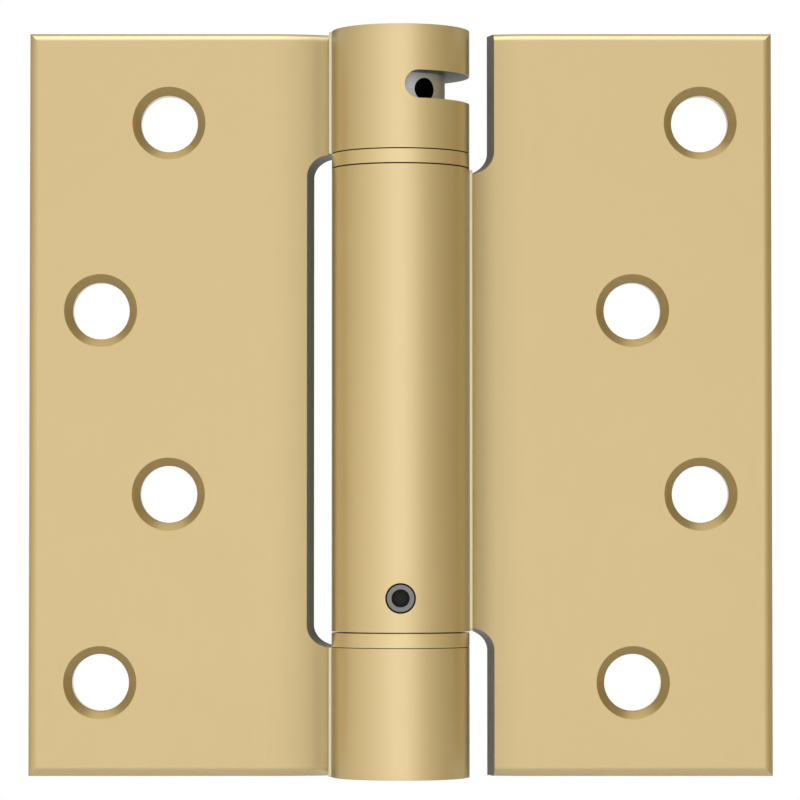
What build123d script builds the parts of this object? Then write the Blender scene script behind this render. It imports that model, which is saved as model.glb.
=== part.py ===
from build123d import *
import os
from math import acos, asin, cos, degrees, radians, sin, tan

# Adjustable spring hinge, four inches square, opened flat.
# The barrel axis is Z, the front of the hinge faces -Y, and the origin is the barrel's centre.
# Each leaf is one sheet, swaged back and rolled into its knuckles. The left leaf carries the top and
# bottom knuckles, and the right leaf carries the long spring barrel that turns between them.
# Lengths are millimetres and angles are degrees.

# Sheet and overall size
leaf_height = 101.6
open_width = 101.6
sheet = 3.3
closed_gap = 1.6
swage_radius = 25.0
edge_round = 1.2

# Barrel and knuckles
barrel_radius = 9.4
top_knuckle = 16.7
bottom_knuckle = 17.6
washer_height = 2.0
upper_relief = 0.16
lower_relief = 0.1
relief_width = 0.6
running_gap = 0.18
notch_gap = 3.45
notch_corner = 3.0
tab_relief = 0.3

# Seam where the rolled edge comes back to the front of its own sheet
seam_gap = 0.15
seam_lip = 0.4
seam_lip_rise = 0.4
seam_sector_end = 210.0

# Screw holes: columns from the leaf's outer edge, and the rows of one column against the other
outer_column = 9.8
inner_column = 19.1
hole_spacing = 50.8
hole_stagger = 25.7
hole_rise = 0.2
hole_radius = 3.9
countersink_radius = 5.0
countersink_angle = 82.0

# Tension slot in the top knuckle; its angles turn from the front towards the right
slot_height = 3.8
slot_drop = 8.1
slot_start = 3.4
slot_end = 168.0

# Clearances
press_clearance = 0.02
bearing_clearance = 0.05
seat_gap = 0.2

# Caps that close the outer knuckles
cap_height = 3.0
cap_recess = 0.3
cap_chamfer = 0.5

# Tension collar
collar_reach = 6.0
rod_hole_radius = 1.55
rod_hole_depth = 3.6
rod_hole_count = 4
rod_hole_drop = 0.3
rod_hole_angle = 33.0

# Torsion spring of square wire, and the slotted spigots that hold its tangs
wire = 2.0
coil_clearance = 0.75
coil_turns = 12
coil_sides = 12
spigot_clearance = 0.35
spigot_length = 4.0
tang_clearance = 0.15

# Spring anchor and its set screw
anchor_reach = 9.2
screw_rise = 4.57
screw_seat = 2.0
screw_radius = 1.98
screw_clearance = 0.08
screw_recess = 0.3
screw_chamfer = 0.15
hex_across_flats = 2.1
hex_depth = 2.4
socket_mouth_radius = 1.24
socket_mouth_depth = 0.35

# Radii and offsets that follow from the sheet and the barrel
half_width = open_width / 2
front_face = closed_gap / 2
middle_of_sheet = front_face + sheet / 2
rolled_radius = barrel_radius - sheet / 2
bore_radius = barrel_radius - sheet
notch_radius = barrel_radius + notch_gap
swage_angle = degrees(acos((middle_of_sheet + swage_radius) / (rolled_radius + swage_radius)))
swage_start = -(rolled_radius + swage_radius) * sin(radians(swage_angle))
swage_centre = Vector(swage_start, middle_of_sheet + swage_radius)
swage_front = swage_radius + sheet / 2
swage_back = swage_radius - sheet / 2
pressed_radius = bore_radius - press_clearance
journal_radius = bore_radius - bearing_clearance
washer_seat_radius = barrel_radius - relief_width
coil_radius = bore_radius - coil_clearance - wire / 2
spigot_radius = coil_radius - wire / 2 - spigot_clearance
screw_point = journal_radius - screw_seat

# Levels along the barrel
top = leaf_height / 2
bottom = -leaf_height / 2
top_knuckle_foot = top - top_knuckle
bottom_knuckle_head = bottom + bottom_knuckle
barrel_head = top_knuckle_foot - washer_height - running_gap
barrel_foot = bottom_knuckle_head + washer_height + running_gap
slot_level = top - slot_drop
rod_hole_level = slot_level - rod_hole_drop
top_cap_foot = top - cap_recess - cap_height
bottom_cap_head = bottom + cap_recess + cap_height
collar_head = top_cap_foot - seat_gap
collar_foot = barrel_head - collar_reach
anchor_foot = bottom_cap_head + seat_gap
anchor_head = barrel_foot + anchor_reach
screw_level = barrel_foot + screw_rise
spring_head = collar_foot - seat_gap
spring_foot = anchor_head + seat_gap
high_column = hole_rise + hole_stagger / 2
low_column = hole_rise - hole_stagger / 2
hole_rows = [
    high_column + hole_spacing / 2,
    low_column + hole_spacing / 2,
    high_column - hole_spacing / 2,
    low_column - hole_spacing / 2,
]


def swage_point(radius, angle):
    """Point of the swage bend at a radius from its centre, after turning through an angle."""
    turn = radians(angle)
    return swage_centre + Vector(radius * sin(turn), -radius * cos(turn))


def turned(*outline):
    """Solid of revolution about Z from (radius, level) corners."""
    profile = Plane.XZ * make_face(Polyline(*outline, close=True))
    return revolve(profile, Axis.Z)


def outward_plane(distance, level, angle):
    """Plane that faces out from the barrel axis; the angle turns from the front to the right."""
    turn = radians(angle)
    outward = Vector(sin(turn), -cos(turn), 0)
    across = Vector(cos(turn), sin(turn), 0)
    return Plane(origin=outward * distance + Vector(0, 0, level), x_dir=across, z_dir=outward)


def radial_rod(radius, inner, outer, level, angle):
    """Round rod that points out from the barrel axis."""
    return extrude(outward_plane(inner, level, angle) * Circle(radius), outer - inner)


def sheet_profile():
    """Section of the flat sheet and its swage, up to where the rolled knuckle begins."""
    half_turn = swage_angle / 2
    outer_front = Vector(-half_width, front_face)
    outer_back = Vector(-half_width, front_face + sheet)
    front = [swage_point(swage_front, angle) for angle in (0, half_turn, swage_angle)]
    back = [swage_point(swage_back, angle) for angle in (swage_angle, half_turn, 0)]
    outline = [
        Line(outer_front, front[0]),
        ThreePointArc(*front),
        Line(front[2], back[0]),
        ThreePointArc(*back),
        Line(back[2], outer_back),
        Line(outer_back, outer_front),
    ]
    return make_face(outline)


def on_front(edge):
    """True for an end edge of the sheet that lies on its front face."""
    if edge.geom_type == GeomType.CIRCLE:
        return edge.radius > swage_radius
    return edge.position_at(0.5).Y < front_face + sheet / 4


def sheet_blank():
    """Leaf sheet at its full height, with rounded front edges."""
    blank = extrude(Plane.XY.offset(bottom) * sheet_profile(), leaf_height)
    outer_edge = blank.edges().filter_by(Axis.Z).group_by(Axis.X)[0].sort_by(Axis.Y)[0]
    levels = blank.edges().group_by(Axis.Z)
    end_edges = [edge for edge in levels[0] + levels[-1] if on_front(edge)]
    return fillet([outer_edge, *end_edges], edge_round)


def knuckle_profile():
    """Section of the rolled knuckle, which ends at a seam on the front of its own sheet."""
    ring = Circle(barrel_radius) - Circle(bore_radius)
    reach = 2 * barrel_radius
    first = radians(90 + swage_angle)
    last = radians(seam_sector_end)
    corners = [(reach * cos(turn), reach * sin(turn)) for turn in (first, (first + last) / 2, last)]
    seam_sector = make_face(Polyline((0, 0), *corners, close=True))
    lip_width = seam_lip + sheet / 2
    lip_centre = Pos(lip_width / 2 - barrel_radius - seam_lip, sheet / 2 - seam_lip_rise)
    rolled_end = (ring & seam_sector) + lip_centre * Rectangle(lip_width, sheet)
    own_sheet = Pos(swage_centre) * Circle(swage_front + seam_gap)
    return (ring - seam_sector) + (rolled_end - own_sheet)


def notch(low, high):
    """Cut that clears the other leaf's knuckle, coaxial with the barrel, with rounded corners."""
    middle = (low + high) / 2
    whole = Pos(0, middle) * RectangleRounded(2 * notch_radius, high - low, notch_corner)
    right_half = Pos(notch_radius, middle) * Rectangle(2 * notch_radius, high - low)
    return revolve(Plane.XZ * (whole & right_half), Axis.Z)


def screw_hole(column, level):
    """Through hole with a shallow countersink in the front face."""
    slope = tan(radians(countersink_angle / 2))
    depth = (countersink_radius - hole_radius) / slope
    cutter = turned(
        (0, -sheet),
        (countersink_radius + sheet * slope, -sheet),
        (hole_radius, depth),
        (hole_radius, 2 * sheet),
        (0, 2 * sheet),
    )
    place = Plane(origin=(column - half_width, front_face, level), x_dir=(1, 0, 0), z_dir=(0, 1, 0))
    return place * cutter


def leaf(notches, knuckles, columns):
    """Leaf to the left of the axis, with its notches, its knuckles and one screw hole in each row."""
    body = sheet_blank()
    for low, high in notches:
        body -= notch(low, high)
    for low, high in knuckles:
        body += extrude(Plane.XY.offset(low) * knuckle_profile(), high - low)
    for column, level in zip(columns, hole_rows):
        body -= screw_hole(column, level)
    return body


def tension_slot():
    """Slot round the top knuckle, with round ends."""
    half = slot_height / 2
    end_turn = degrees(asin(half / barrel_radius))
    first = slot_start + end_turn
    last = slot_end - end_turn
    inner = bore_radius - sheet / 2
    outer = barrel_radius + sheet / 2
    section = Plane.XZ * Pos((inner + outer) / 2, slot_level) * Rectangle(outer - inner, slot_height)
    band = revolve(Rot(0, 0, first - 90) * section, Axis.Z, last - first)
    ends = [radial_rod(half, inner, outer, slot_level, angle) for angle in (first, last)]
    return band + ends


def left_leaf():
    """Fixed leaf with the top and bottom knuckles."""
    body = leaf(
        notches=[(bottom_knuckle_head, top_knuckle_foot)],
        knuckles=[(bottom, bottom_knuckle_head), (top_knuckle_foot, top)],
        columns=[inner_column, outer_column, inner_column, outer_column],
    )
    return body - tension_slot()


def right_leaf():
    """Swinging leaf with the spring barrel."""
    beyond = notch_radius
    body = leaf(
        notches=[(barrel_head - tab_relief, top + beyond), (bottom - beyond, barrel_foot + tab_relief)],
        knuckles=[(barrel_foot, barrel_head)],
        columns=[outer_column, inner_column, outer_column, inner_column],
    )
    screw_way = radial_rod(
        screw_radius + screw_clearance, bore_radius - sheet / 2, barrel_radius + sheet, screw_level, 0
    )
    return mirror(body, about=Plane.YZ) - screw_way


def cap(face, outer):
    """Plug pressed into a knuckle, from its inner face to its chamfered outer end."""
    inward = cap_chamfer if outer < face else -cap_chamfer
    return turned(
        (0, face),
        (pressed_radius, face),
        (pressed_radius, outer + inward),
        (pressed_radius - cap_chamfer, outer),
        (0, outer),
    )


def washer(seat, running, relief):
    """Flat bearing washer round a journal; a relief at its seat leaves a fine line under the knuckle."""
    shelf = seat + (relief if running > seat else -relief)
    return turned(
        (bore_radius, seat),
        (washer_seat_radius, seat),
        (washer_seat_radius, shelf),
        (barrel_radius, shelf),
        (barrel_radius, running),
        (bore_radius, running),
    )


def tang_slot(shoulder, end):
    """Slot across a spigot for the spring's tang."""
    width = wire + 2 * tang_clearance
    return Pos(0, 0, (shoulder + end) / 2) * Box(4 * spigot_radius, width, abs(end - shoulder))


def tension_collar():
    """Collar that pivots the barrel and winds the spring, with radial holes for a tension rod."""
    spigot_end = collar_foot - spigot_length
    body = turned(
        (0, spigot_end),
        (spigot_radius, spigot_end),
        (spigot_radius, collar_foot),
        (journal_radius, collar_foot),
        (journal_radius, collar_head),
        (0, collar_head),
    )
    body -= tang_slot(collar_foot, spigot_end)
    hole_end = journal_radius - rod_hole_depth
    for step in range(rod_hole_count):
        angle = rod_hole_angle + step * 360 / rod_hole_count
        body -= radial_rod(rod_hole_radius, hole_end, barrel_radius, rod_hole_level, angle)
    return body


def coil_section(step, runs, low, high):
    """Corners of the square wire at one step of the coil, from the lower inner one round."""
    turn = radians(360 / coil_sides * step)
    level = low + (high - low) * step / runs
    inner = coil_radius - wire / 2
    outer = coil_radius + wire / 2
    corners = ((inner, -wire / 2), (outer, -wire / 2), (outer, wire / 2), (inner, wire / 2))
    return [Vector(radius * cos(turn), radius * sin(turn), level + up) for radius, up in corners]


def flat_face(*corners):
    """Plane face with straight edges."""
    return Face(Wire.make_polygon(corners))


def torsion_spring():
    """Coil of square wire in short straight runs, with a tang across each end."""
    low = spring_foot + wire / 2
    high = spring_head - wire / 2
    runs = coil_turns * coil_sides
    sections = [coil_section(step, runs, low, high) for step in range(runs + 1)]
    faces = [flat_face(*sections[0]), flat_face(*sections[-1])]
    for near, far in zip(sections, sections[1:]):
        faces += [flat_face(near[1], near[2], far[2], far[1]), flat_face(near[3], near[0], far[0], far[3])]
        for inner, outer in ((0, 1), (3, 2)):
            faces += [flat_face(near[inner], near[outer], far[outer])]
            faces += [flat_face(near[inner], far[outer], far[inner])]
    spring = Part(Solid(Shell(faces)).wrapped)
    tang_length = coil_radius + wire / 2 + spigot_radius
    tang_middle = tang_length / 2 - spigot_radius
    for level in (low, high):
        spring += Pos(tang_middle, 0, level) * Box(tang_length, wire, wire)
    return spring


def spring_anchor():
    """Plug that is fixed in the barrel, holds the spring's lower tang and pivots in the bottom knuckle."""
    spigot_end = anchor_head + spigot_length
    body = turned(
        (0, anchor_foot),
        (journal_radius, anchor_foot),
        (journal_radius, anchor_head),
        (spigot_radius, anchor_head),
        (spigot_radius, spigot_end),
        (0, spigot_end),
    )
    body -= tang_slot(anchor_head, spigot_end)
    return body - radial_rod(screw_radius + screw_clearance, screw_point, barrel_radius, screw_level, 0)


def anchor_screw():
    """Socket set screw through the barrel into the anchor."""
    length = barrel_radius - screw_recess - screw_point
    shank = turned(
        (0, 0),
        (screw_radius - screw_chamfer, 0),
        (screw_radius, screw_chamfer),
        (screw_radius, length - screw_chamfer),
        (screw_radius - screw_chamfer, length),
        (0, length),
    )
    hexagon = RegularPolygon(hex_across_flats / 2, 6, major_radius=False)
    socket = extrude(Plane.XY.offset(length - hex_depth) * hexagon, hex_depth)
    mouth = turned(
        (0, length - socket_mouth_depth),
        (socket_mouth_radius - socket_mouth_depth, length - socket_mouth_depth),
        (socket_mouth_radius, length),
        (0, length),
    )
    return outward_plane(screw_point, screw_level, 0) * (shank - socket - mouth)


pieces = {
    "left_leaf": left_leaf(),
    "right_leaf": right_leaf(),
    "top_cap": cap(top_cap_foot, top - cap_recess),
    "bottom_cap": cap(bottom_cap_head, bottom + cap_recess),
    "tension_collar": tension_collar(),
    "upper_washer": washer(top_knuckle_foot, top_knuckle_foot - washer_height, upper_relief),
    "lower_washer": washer(bottom_knuckle_head, bottom_knuckle_head + washer_height, lower_relief),
    "torsion_spring": torsion_spring(),
    "spring_anchor": spring_anchor(),
    "anchor_screw": anchor_screw(),
}

os.makedirs("parts", exist_ok=True)
for name, piece in pieces.items():
    export_step(piece, f"parts/{name}.step")
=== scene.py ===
import math

import bmesh
import bpy
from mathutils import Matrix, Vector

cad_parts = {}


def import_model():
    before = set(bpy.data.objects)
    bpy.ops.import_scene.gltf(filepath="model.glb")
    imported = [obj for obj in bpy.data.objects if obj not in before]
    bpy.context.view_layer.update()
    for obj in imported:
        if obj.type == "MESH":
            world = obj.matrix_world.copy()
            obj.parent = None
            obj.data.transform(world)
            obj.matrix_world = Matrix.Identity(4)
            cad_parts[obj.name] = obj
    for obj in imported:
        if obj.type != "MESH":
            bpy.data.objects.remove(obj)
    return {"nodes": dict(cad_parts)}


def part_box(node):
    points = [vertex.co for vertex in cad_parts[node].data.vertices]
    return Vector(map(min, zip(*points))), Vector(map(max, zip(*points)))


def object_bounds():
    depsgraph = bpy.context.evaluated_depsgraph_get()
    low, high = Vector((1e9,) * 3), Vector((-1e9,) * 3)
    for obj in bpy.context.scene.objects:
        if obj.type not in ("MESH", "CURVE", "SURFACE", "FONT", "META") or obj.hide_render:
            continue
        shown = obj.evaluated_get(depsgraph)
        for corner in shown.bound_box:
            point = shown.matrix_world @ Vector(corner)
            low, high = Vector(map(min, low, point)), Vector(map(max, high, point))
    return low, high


# The frame is in metres: Z up along the pivot axis, and the front of the hinge faces -Y.
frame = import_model()
cad_low, cad_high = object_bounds()

MM = 0.001

# Sizes that the materials follow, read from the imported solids
upper_washer_low, upper_washer_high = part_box("upper_washer")
lower_washer_low, lower_washer_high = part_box("lower_washer")
TOP = cad_high.z
HALF_WIDTH = cad_high.x
BARREL_RADIUS = upper_washer_high.x
JOURNAL_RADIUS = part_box("tension_collar")[1].x
TOP_KNUCKLE_FOOT = upper_washer_high.z
BOTTOM_KNUCKLE_HEAD = lower_washer_low.z
SCREW_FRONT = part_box("anchor_screw")[0].y

# Sheet, notches and slot, where the solids' boxes don't give the size
FRONT_FACE = 0.8 * MM
SHEET = 3.3 * MM
EDGE_ROUND = 1.2 * MM
RUNNING_GAP = 0.18 * MM
TAB_RELIEF = 0.3 * MM
TAB_HEAD = upper_washer_low.z - RUNNING_GAP - TAB_RELIEF
TAB_FOOT = lower_washer_high.z + RUNNING_GAP + TAB_RELIEF
NOTCH_GAP = 3.45 * MM
NOTCH_RADIUS = BARREL_RADIUS + NOTCH_GAP
NOTCH_CORNER = 3.0 * MM
SLOT_DROP = 8.1 * MM
SLOT_LEVEL = TOP - SLOT_DROP
SLOT_HEIGHT = 3.8 * MM

# Screw holes
INNER_COLUMN = HALF_WIDTH - 19.1 * MM
OUTER_COLUMN = HALF_WIDTH - 9.8 * MM
HOLE_SPACING = 50.8 * MM
HOLE_STAGGER = 25.7 * MM
HOLE_RISE = 0.2 * MM
HOLE_RADIUS = 3.9 * MM
COUNTERSINK_RADIUS = 5.0 * MM

# How close a point lies to a skin or a cut face to count as on it
SKIN = 0.1 * MM
CUT_TOLERANCE = 0.04 * MM

# Painted light on the flanks and back of the rolled barrel, paler and lighter than its front: how far
# before the axis it starts and is full
LIT_FLANK = 7.4 * MM
LIT_FLANK_FULL = 3.7 * MM
ROLL_FADE = 0.5 * MM

# Painted shade in the crease between barrel and leaf: on the barrel's flank and back, and out on the
# sheet
CREASE_FLANK = 5.0 * MM
CREASE_FLANK_FULL = 2.0 * MM
CREASE_BACK = 3.6 * MM
CREASE_BACK_FULL = 2.6 * MM
CREASE_SHEET = 8.6 * MM
CREASE_SHEET_FULL = 3.0 * MM
CREASE_SHEET_SHADE = 0.10
# Painted light: a lighter band of brass on the sheet right at the crease, where it starts and is full
CREASE_LIGHT_BAND = 2.6 * MM
CREASE_LIGHT_BAND_FULL = 0.8 * MM

# Finishes, with painted highlight, light and shade, as linear colours
BRASS = (0.686, 0.533, 0.275, 1)
# Brighter than BRASS: a painted highlight on the front of the rolled barrel
BARREL_HIGHLIGHT_BRASS = (0.81, 0.64, 0.35, 1)
# Brighter still: a painted highlight on the washers' bands
WASHER_HIGHLIGHT_BRASS = (0.85, 0.672, 0.366, 1)
# Paler, lighter brass: painted light on the barrel's flanks and back
FLANK_LIGHT_BRASS = (0.82, 0.74, 0.525, 1)
# Lighter brass: painted light on the sheet next to the crease
CREASE_LIGHT_BRASS = (0.78, 0.67, 0.42, 1)
RUBBED_BRASS = (0.74, 0.60, 0.35, 1)
# Darker brass in the countersinks: painted shade
COUNTERSINK_SHADE_BRASS = (0.50, 0.375, 0.165, 1)
NOTCH_STEEL = (0.27, 0.285, 0.285, 1)
NOTCH_STEEL_DARK = (0.17, 0.18, 0.18, 1)
# Bare cut steel in the slot, painted darker than on the notches: painted shade
SLOT_SHADE_STEEL = (0.20, 0.21, 0.205, 1)
SLOT_SHADE_STEEL_DARK = (0.12, 0.125, 0.12, 1)
# Painted shade in the crease between barrel and leaf
CREASE_SHADE = (0.36, 0.32, 0.21, 1)
# Near black: painted shade on the faces inside the barrel's outline, darkening the gaps between parts
GAP_SHADE = (0.016, 0.012, 0.006, 1)
COLLAR_STEEL = (0.72, 0.74, 0.76, 1)
SCREW_STEEL = (0.245, 0.245, 0.24, 1)
SPRING_STEEL = (0.16, 0.16, 0.17, 1)
SHADOWED_STEEL = (0.030, 0.030, 0.028, 1)

# Surface of the brass: noise in cycles to the metre along X, Y and Z, roughness, and what adds to it
GRAIN_CYCLES = (2600, 2600, 160)
GRAIN_DETAIL = 3.0
GRAIN_DEPTH = 0.002 * MM
CLOUD_CYCLES = (70, 70, 70)
CLOUD_DETAIL = 3.0
SHEAR_CYCLES = (900, 900, 900)
SHEAR_DETAIL = 4.0
SATIN_LOW = 0.28
SATIN_HIGH = 0.38
CLOUD_SATIN = 0.04
HOLE_WALL_SATIN = -0.22
COUNTERSINK_SATIN = 0.06
COUNTERSINK_BRUSHING = 0.95
CUT_SATIN = 0.15

# Surface of the turned steel
TOOL_MARK_CYCLES = (150, 150, 5200)
TOOL_MARK_DETAIL = 2.0
TOOL_MARK_DEPTH = 0.003 * MM
TOOL_MARK_SHADE = 0.72
TOOL_MARK_SHARE = 0.35
TOOL_MARK_SATIN = 0.06
COLLAR_SATIN = 0.48
ANCHOR_SATIN = 0.36
SCREW_SATIN = 0.38
SPRING_SATIN = 0.45

RELIEF_STRENGTH = 0.35

# Places of the colour sockets on a mix node
MIX_FIRST = 6
MIX_SECOND = 7
MIX_RESULT = 2


def calc(tree, operation, *values):
    """Math node whose inputs are sockets or plain numbers."""
    node = tree.nodes.new("ShaderNodeMath")
    node.operation = operation
    for socket, value in zip(node.inputs, values):
        if isinstance(value, bpy.types.NodeSocket):
            tree.links.new(value, socket)
        else:
            socket.default_value = value
    return node.outputs[0]


def mix(tree, factor, first, second):
    """Mixes two colours, each a socket or four numbers."""
    node = tree.nodes.new("ShaderNodeMix")
    node.data_type = "RGBA"
    tree.links.new(factor, node.inputs["Factor"])
    for place, value in ((MIX_FIRST, first), (MIX_SECOND, second)):
        if isinstance(value, bpy.types.NodeSocket):
            tree.links.new(value, node.inputs[place])
        else:
            node.inputs[place].default_value = value
    return node.outputs[MIX_RESULT]


def fade(tree, value, start, end):
    """Smooth step from 0 at start to 1 at end."""
    node = tree.nodes.new("ShaderNodeMapRange")
    node.interpolation_type = "SMOOTHSTEP"
    tree.links.new(value, node.inputs["Value"])
    node.inputs["From Min"].default_value = start
    node.inputs["From Max"].default_value = end
    return node.outputs["Result"]


def span(tree, value, low, high):
    """Remaps 0..1 to low..high."""
    return calc(tree, "MULTIPLY_ADD", value, high - low, low)


def noise(tree, position, cycles, detail):
    """Noise in the part's own frame, with its cycles to the metre along X, Y and Z."""
    mapping = tree.nodes.new("ShaderNodeMapping")
    mapping.inputs["Scale"].default_value = cycles
    tree.links.new(position, mapping.inputs["Vector"])
    node = tree.nodes.new("ShaderNodeTexNoise")
    node.inputs["Scale"].default_value = 1.0
    node.inputs["Detail"].default_value = detail
    tree.links.new(mapping.outputs["Vector"], node.inputs["Vector"])
    return node.outputs["Fac"]


def distance(tree, first, second):
    """Length of a vector with two parts."""
    squares = [calc(tree, "POWER", part, 2) for part in (first, second)]
    return calc(tree, "SQRT", calc(tree, "ADD", *squares))


def metal(name):
    """New metal material, with its node tree, its shader and the position in the part's frame."""
    material = bpy.data.materials.new(name)
    material.use_nodes = True
    tree = material.node_tree
    shader = tree.nodes["Principled BSDF"]
    shader.inputs["Metallic"].default_value = 1.0
    position = tree.nodes.new("ShaderNodeTexCoord").outputs["Object"]
    parts = tree.nodes.new("ShaderNodeSeparateXYZ")
    tree.links.new(position, parts.inputs[0])
    return material, tree, shader, position, parts.outputs


def add_relief(tree, shader, height, depth):
    """Fine relief in the surface."""
    node = tree.nodes.new("ShaderNodeBump")
    node.inputs["Distance"].default_value = depth
    node.inputs["Strength"].default_value = RELIEF_STRENGTH
    tree.links.new(height, node.inputs["Height"])
    tree.links.new(node.outputs["Normal"], shader.inputs["Normal"])


def notch_mask(tree, radius, level, low, high):
    """One on the cut face of a notch: a rounded rectangle turned about the pivot axis."""
    middle = (low + high) / 2
    reach = (high - low) / 2 - NOTCH_CORNER
    across = calc(tree, "MAXIMUM", calc(tree, "SUBTRACT", radius, NOTCH_RADIUS - NOTCH_CORNER), 0)
    off = calc(tree, "ABSOLUTE", calc(tree, "SUBTRACT", level, middle))
    along = calc(tree, "MAXIMUM", calc(tree, "SUBTRACT", off, reach), 0)
    away = calc(tree, "SUBTRACT", distance(tree, across, along), NOTCH_CORNER)
    on_cut = calc(tree, "LESS_THAN", calc(tree, "ABSOLUTE", away), CUT_TOLERANCE)
    clear_of_barrel = calc(tree, "GREATER_THAN", radius, BARREL_RADIUS + SKIN)
    return calc(tree, "MULTIPLY", on_cut, clear_of_barrel)


def slot_mask(tree, radius, level):
    """One on the walls of the tension slot."""
    off = calc(tree, "ABSOLUTE", calc(tree, "SUBTRACT", level, SLOT_LEVEL))
    in_height = calc(tree, "LESS_THAN", off, SLOT_HEIGHT / 2 + CUT_TOLERANCE)
    inside = calc(tree, "LESS_THAN", radius, BARREL_RADIUS - SKIN)
    return calc(tree, "MULTIPLY", in_height, inside)


def gap_shade_mask(tree, radius, level):
    """One on the faces that run on each other inside the barrel's outline, which get near-black painted
    shade.
    """
    between = calc(tree, "LESS_THAN", calc(tree, "ABSOLUTE", level), TOP_KNUCKLE_FOOT + SKIN)
    inside = calc(tree, "LESS_THAN", radius, BARREL_RADIUS - SKIN)
    return calc(tree, "MULTIPLY", between, inside)


def edge_mask(tree, x, z):
    """Grows from 0 to 1 across the rounded outer edges of the leaves."""
    past_side = calc(tree, "SUBTRACT", calc(tree, "ABSOLUTE", x), HALF_WIDTH - EDGE_ROUND)
    past_end = calc(tree, "SUBTRACT", calc(tree, "ABSOLUTE", z), TOP - EDGE_ROUND)
    return fade(tree, calc(tree, "MAXIMUM", past_side, past_end), 0.0, EDGE_ROUND)


def crease_shade_mask(tree, radius, x, y, side):
    """Painted shade that grows towards the crease where the rolled barrel meets its own leaf, on one
    side of the axis.
    """
    across = calc(tree, "MULTIPLY", x, side)
    not_outside = calc(tree, "LESS_THAN", radius, BARREL_RADIUS + CUT_TOLERANCE)
    not_inside = calc(tree, "GREATER_THAN", radius, BARREL_RADIUS - SKIN)
    rolled = calc(tree, "MULTIPLY", not_outside, not_inside)
    flank = fade(tree, y, -CREASE_FLANK, -CREASE_FLANK_FULL)
    near = fade(tree, across, BARREL_RADIUS + CREASE_SHEET, BARREL_RADIUS + CREASE_SHEET_FULL)
    sheet = calc(tree, "MULTIPLY", near, CREASE_SHEET_SHADE)
    painted_shade = calc(tree, "MULTIPLY_ADD", calc(tree, "SUBTRACT", flank, sheet), rolled, sheet)
    painted_shade = calc(tree, "MULTIPLY", painted_shade, fade(tree, y, CREASE_BACK, CREASE_BACK_FULL))
    return calc(tree, "MULTIPLY", painted_shade, calc(tree, "GREATER_THAN", across, 0))


def screw_hole_parts(tree, x, y, z, side):
    """Masks of the countersinks and of the holes' walls, and the way out from the nearest hole."""
    across = calc(tree, "MULTIPLY", x, side)
    inner = calc(tree, "LESS_THAN", across, (INNER_COLUMN + OUTER_COLUMN) / 2)
    column = span(tree, inner, side * OUTER_COLUMN, side * INNER_COLUMN)
    out_x = calc(tree, "SUBTRACT", x, column)
    stagger = side * HOLE_STAGGER / 2
    middle = span(tree, inner, HOLE_RISE + stagger, HOLE_RISE - stagger)
    past_middle = calc(tree, "FLOORED_MODULO", calc(tree, "SUBTRACT", z, middle), HOLE_SPACING)
    out_z = calc(tree, "SUBTRACT", past_middle, HOLE_SPACING / 2)
    away = distance(tree, out_x, out_z)
    behind_front = calc(tree, "GREATER_THAN", y, FRONT_FACE + CUT_TOLERANCE)
    before_back = calc(tree, "LESS_THAN", y, FRONT_FACE + SHEET - CUT_TOLERANCE)
    near = calc(tree, "LESS_THAN", away, COUNTERSINK_RADIUS + CUT_TOLERANCE)
    in_hole = calc(tree, "MULTIPLY", calc(tree, "MULTIPLY", behind_front, before_back), near)
    wall = calc(tree, "MULTIPLY", in_hole, calc(tree, "LESS_THAN", away, HOLE_RADIUS + CUT_TOLERANCE))
    way = tree.nodes.new("ShaderNodeCombineXYZ")
    tree.links.new(out_x, way.inputs["X"])
    tree.links.new(out_z, way.inputs["Z"])
    turn = tree.nodes.new("ShaderNodeVectorTransform")
    turn.convert_from = "OBJECT"
    turn.convert_to = "WORLD"
    tree.links.new(way.outputs[0], turn.inputs[0])
    return calc(tree, "SUBTRACT", in_hole, wall), wall, turn.outputs[0]


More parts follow.
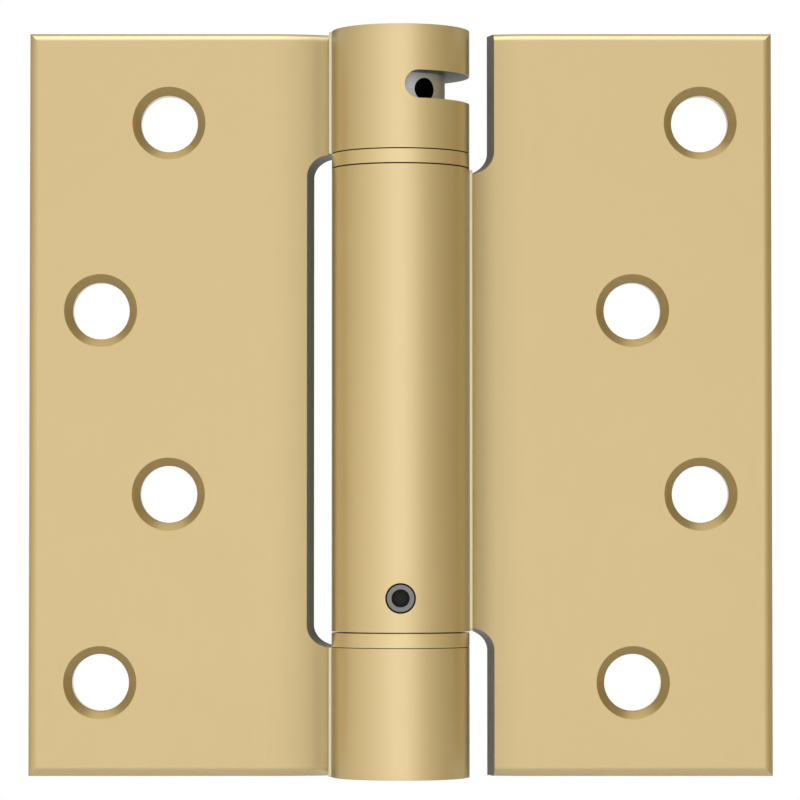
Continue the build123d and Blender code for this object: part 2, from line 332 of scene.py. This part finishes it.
def leaf_brass(name, skin, notches=(), slotted=False, crease_side=0):
    """Satin brass plate, with plain steel where the sheet was cut after rolling, and painted highlight,
    light and shade on the barrel, by the crease, in the countersinks, in the slot and between the parts.
    """
    material, tree, shader, position, (x, y, z) = metal(name)
    radius = distance(tree, x, y)
    grain = noise(tree, position, GRAIN_CYCLES, GRAIN_DETAIL)
    cloud = noise(tree, position, CLOUD_CYCLES, CLOUD_DETAIL)
    rolled = fade(tree, radius, BARREL_RADIUS + ROLL_FADE, BARREL_RADIUS + SKIN)
    # Painted highlight on the barrel's front, painted light on its flanks and back
    barrel_painted_light = mix(tree, fade(tree, y, -LIT_FLANK, -LIT_FLANK_FULL), skin, FLANK_LIGHT_BRASS)
    across = calc(tree, "ABSOLUTE", x)
    # Painted light: lighter brass on the sheet next to the crease
    crease_lightening = fade(tree, across, BARREL_RADIUS + CREASE_LIGHT_BAND, BARREL_RADIUS + CREASE_LIGHT_BAND_FULL)
    brass = mix(tree, rolled, mix(tree, crease_lightening, BRASS, CREASE_LIGHT_BRASS), barrel_painted_light)
    worn = calc(tree, "MULTIPLY", edge_mask(tree, x, z), cloud)
    brass = mix(tree, worn, brass, RUBBED_BRASS)
    satin = calc(tree, "MULTIPLY_ADD", cloud, CLOUD_SATIN, span(tree, grain, SATIN_LOW, SATIN_HIGH))
    if crease_side:
        # Painted shade in the crease between barrel and leaf
        brass = mix(tree, crease_shade_mask(tree, radius, x, y, crease_side), brass, CREASE_SHADE)
        countersink, wall, way_out = screw_hole_parts(tree, x, y, z, crease_side)
        # Painted shade: darker brass in the countersinks
        brass = mix(tree, countersink, brass, COUNTERSINK_SHADE_BRASS)
        satin = calc(tree, "MULTIPLY_ADD", wall, HOLE_WALL_SATIN, satin)
        satin = calc(tree, "MULTIPLY_ADD", countersink, COUNTERSINK_SATIN, satin)
        brushing = calc(tree, "MULTIPLY", countersink, COUNTERSINK_BRUSHING)
        tree.links.new(brushing, shader.inputs["Anisotropic"])
        tree.links.new(way_out, shader.inputs["Tangent"])
    shear = noise(tree, position, SHEAR_CYCLES, SHEAR_DETAIL)
    notch_steel = mix(tree, shear, NOTCH_STEEL, NOTCH_STEEL_DARK)
    cuts = [(notch_mask(tree, radius, z, low, high), notch_steel) for low, high in notches]
    if slotted:
        # The slot's bare steel is darker than the notches': painted shade
        cuts.append((slot_mask(tree, radius, z), mix(tree, shear, SLOT_SHADE_STEEL, SLOT_SHADE_STEEL_DARK)))
    for cut, bare_steel in cuts:
        brass = mix(tree, cut, brass, bare_steel)
        satin = calc(tree, "MULTIPLY_ADD", cut, CUT_SATIN, satin)
    # Painted shade: near black on the faces inside the barrel's outline
    colour = mix(tree, gap_shade_mask(tree, radius, z), brass, GAP_SHADE)
    tree.links.new(colour, shader.inputs["Base Color"])
    tree.links.new(satin, shader.inputs["Roughness"])
    add_relief(tree, shader, grain, GRAIN_DEPTH)
    return material


def turned_steel(name, colour, satin, hollow=None):
    """Plain turned steel with faint tool marks round the pivot axis, and painted shade in its hollows.
    """
    material, tree, shader, position, parts = metal(name)
    marks = noise(tree, position, TOOL_MARK_CYCLES, TOOL_MARK_DETAIL)
    dark = tuple(TOOL_MARK_SHADE * value for value in colour[:3]) + (1,)
    steel = mix(tree, calc(tree, "MULTIPLY", marks, TOOL_MARK_SHARE), colour, dark)
    if hollow:
        steel = mix(tree, hollow(tree, parts), steel, SHADOWED_STEEL)
    roughness = span(tree, marks, satin - TOOL_MARK_SATIN, satin + TOOL_MARK_SATIN)
    tree.links.new(steel, shader.inputs["Base Color"])
    tree.links.new(roughness, shader.inputs["Roughness"])
    add_relief(tree, shader, marks, TOOL_MARK_DEPTH)
    return material


def below_journal(tree, parts):
    """One inside the collar's rod holes."""
    return calc(tree, "LESS_THAN", distance(tree, parts[0], parts[1]), JOURNAL_RADIUS - SKIN)


def below_screw_face(tree, parts):
    """One inside the set screw's socket and down its shank."""
    return calc(tree, "GREATER_THAN", parts[1], SCREW_FRONT + CUT_TOLERANCE)


def dress(material, *names):
    """Gives CAD nodes a material."""
    for name in names:
        frame["nodes"][name].data.materials.clear()
        frame["nodes"][name].data.materials.append(material)


left_notches = [(BOTTOM_KNUCKLE_HEAD, TOP_KNUCKLE_FOOT)]
right_notches = [(TAB_HEAD, TOP + NOTCH_RADIUS), (-TOP - NOTCH_RADIUS, TAB_FOOT)]
left_brass = leaf_brass("left_leaf_brass", BARREL_HIGHLIGHT_BRASS, left_notches, slotted=True, crease_side=-1)
right_brass = leaf_brass("right_leaf_brass", BARREL_HIGHLIGHT_BRASS, right_notches, crease_side=1)
dress(left_brass, "left_leaf")
dress(right_brass, "right_leaf")
dress(leaf_brass("fitting_brass", WASHER_HIGHLIGHT_BRASS), "top_cap", "bottom_cap", "upper_washer", "lower_washer")
dress(turned_steel("collar_steel", COLLAR_STEEL, COLLAR_SATIN, below_journal), "tension_collar")
dress(turned_steel("anchor_steel", COLLAR_STEEL, ANCHOR_SATIN), "spring_anchor")
dress(turned_steel("screw_steel", SCREW_STEEL, SCREW_SATIN, below_screw_face), "anchor_screw")
dress(turned_steel("spring_steel", SPRING_STEEL, SPRING_SATIN), "torsion_spring")

# Stage: a pale floor well below the hinge, a light tent that the camera doesn't see, and white beyond
FLOOR_LEVEL = -0.17
FLOOR_HALF = 0.55
FLOOR_PAINT = (0.80, 0.815, 0.85, 1)
FLOOR_ROUGHNESS = 0.9
BACKDROP = (1, 1, 1, 1)
BACKDROP_STRENGTH = 1.0
TENT_RADIUS = 1.5
TENT_SEGMENTS = 64
TENT_RINGS = 32

# Tent brightness round the hinge at eye level: degrees from the front towards the right, and level
TENT_WALL = [
    (-180, 0.75), (-165, 0.52), (-150, 0.46), (-124, 0.54), (-103, 0.57), (-75, 0.68), (-50, 0.78),
    (-30, 0.90), (-12, 1.00), (0, 1.05), (10, 1.00), (21, 0.89), (42, 0.61), (64, 0.49), (77, 0.45),
    (90, 0.38), (98, 0.44), (107, 0.52), (120, 0.44), (150, 0.28), (165, 0.45), (180, 0.75),
]

# How much of its green and blue the wall loses where it is dim, and the front's place on its ramp
TENT_WARMTH = (0.0, 0.17, 0.60)
RAMP_FRONT = 0.5

# Levels of the tent's wall, foot, roof and roof strip, with their limits as shares of the tent's radius
TENT_LEVEL = 0.97
TENT_FOOT_LEVEL = 1.155
TENT_FOOT_FADE = 0.15
TENT_ROOF = 0.60
TENT_ROOF_START = 0.56
TENT_ROOF_FULL = 0.82
STRIP_LIGHT = 2.3
STRIP_MIDDLE = -0.17
STRIP_HALF = 0.45
STRIP_SIDE_SOFTNESS = 0.22
STRIP_END = -0.04
STRIP_SOFTNESS = 0.10


def stage_mesh(name, mesh, material):
    """Mesh object of the stage."""
    thing = bpy.data.objects.new(name, mesh)
    bpy.context.scene.collection.objects.link(thing)
    mesh.materials.append(material)
    return thing


def floor():
    """Plain pale floor."""
    signs = ((-1, -1), (1, -1), (1, 1), (-1, 1))
    corners = [(side * FLOOR_HALF, end * FLOOR_HALF, FLOOR_LEVEL) for side, end in signs]
    mesh = bpy.data.meshes.new("floor")
    mesh.from_pydata(corners, [], [(0, 1, 2, 3)])
    material = bpy.data.materials.new("floor_paint")
    material.use_nodes = True
    shader = material.node_tree.nodes["Principled BSDF"]
    shader.inputs["Base Color"].default_value = FLOOR_PAINT
    shader.inputs["Roughness"].default_value = FLOOR_ROUGHNESS
    stage_mesh("floor", mesh, material)


def tent_light():
    """Soft light by direction: a wall that dims towards the sides, and a strip light in the roof."""
    material = bpy.data.materials.new("tent_light")
    material.use_nodes = True
    tree = material.node_tree
    tree.nodes.clear()
    position = tree.nodes.new("ShaderNodeTexCoord").outputs["Object"]
    parts = tree.nodes.new("ShaderNodeSeparateXYZ")
    tree.links.new(position, parts.inputs[0])
    x, y, z = (calc(tree, "DIVIDE", part, TENT_RADIUS) for part in parts.outputs)
    forward = calc(tree, "MULTIPLY", y, -1)
    place = calc(tree, "MULTIPLY_ADD", calc(tree, "ARCTAN2", x, forward), 1 / math.tau, RAMP_FRONT)
    wall = tree.nodes.new("ShaderNodeValToRGB")
    elements = wall.color_ramp.elements
    while len(elements) < len(TENT_WALL):
        elements.new(RAMP_FRONT)
    for element, (degrees, level) in zip(elements, TENT_WALL):
        element.position = degrees / 360 + RAMP_FRONT
        element.color = [level * (1 - warm * (1 - level)) for warm in TENT_WARMTH] + [1]
    tree.links.new(place, wall.inputs[0])
    in_front = fade(tree, forward, STRIP_END - STRIP_SOFTNESS, STRIP_END + STRIP_SOFTNESS)
    aside = calc(tree, "ABSOLUTE", calc(tree, "SUBTRACT", x, STRIP_MIDDLE))
    in_strip = fade(tree, aside, STRIP_HALF + STRIP_SIDE_SOFTNESS, STRIP_HALF - STRIP_SIDE_SOFTNESS)
    roof = span(tree, calc(tree, "MULTIPLY", in_front, in_strip), TENT_ROOF, STRIP_LIGHT)
    overhead = fade(tree, z, TENT_ROOF_START, TENT_ROOF_FULL)
    light = tree.nodes.new("ShaderNodeEmission")
    low_down = fade(tree, z, TENT_FOOT_FADE, -TENT_FOOT_FADE)
    tree.links.new(span(tree, low_down, TENT_LEVEL, TENT_FOOT_LEVEL), light.inputs["Strength"])
    tree.links.new(mix(tree, overhead, wall.outputs[0], roof), light.inputs["Color"])
    output = tree.nodes.new("ShaderNodeOutputMaterial")
    tree.links.new(light.outputs[0], output.inputs[0])
    return material


def light_tent():
    """Round tent that lights the hinge from every side and is unseen by the camera."""
    mesh = bpy.data.meshes.new("light_tent")
    shape = bmesh.new()
    bmesh.ops.create_uvsphere(
        shape, u_segments=TENT_SEGMENTS, v_segments=TENT_RINGS, radius=TENT_RADIUS
    )
    shape.to_mesh(mesh)
    shape.free()
    thing = stage_mesh("light_tent", mesh, tent_light())
    thing.visible_camera = False


def world():
    """White behind everything."""
    setting = bpy.data.worlds.new("studio")
    setting.use_nodes = True
    background = setting.node_tree.nodes["Background"]
    background.inputs["Color"].default_value = BACKDROP
    background.inputs["Strength"].default_value = BACKDROP_STRENGTH
    bpy.context.scene.world = setting


floor()
light_tent()
world()

# Camera: square on to the leaves, with the eye a little below the middle of the hinge.
# Turned by 90 degrees about X it looks level, and the pitch lifts its view from there.
EYE = (-0.08 * MM, -536 * MM, -20 * MM)
PITCH = 1.722
LENS = 177.0
SENSOR = 36
SHIFT_UP = 0.04
CLIP_START = 0.01

data = bpy.data.cameras.new("camera")
camera = bpy.data.objects.new("camera", data)
bpy.context.scene.collection.objects.link(camera)
camera.location = EYE
camera.rotation_euler = (math.radians(90 + PITCH), 0, 0)
data.sensor_width = SENSOR
data.lens = LENS
data.shift_y = SHIFT_UP
data.clip_start = CLIP_START
bpy.context.scene.camera = camera
bpy.context.scene.view_settings.view_transform = "Standard"
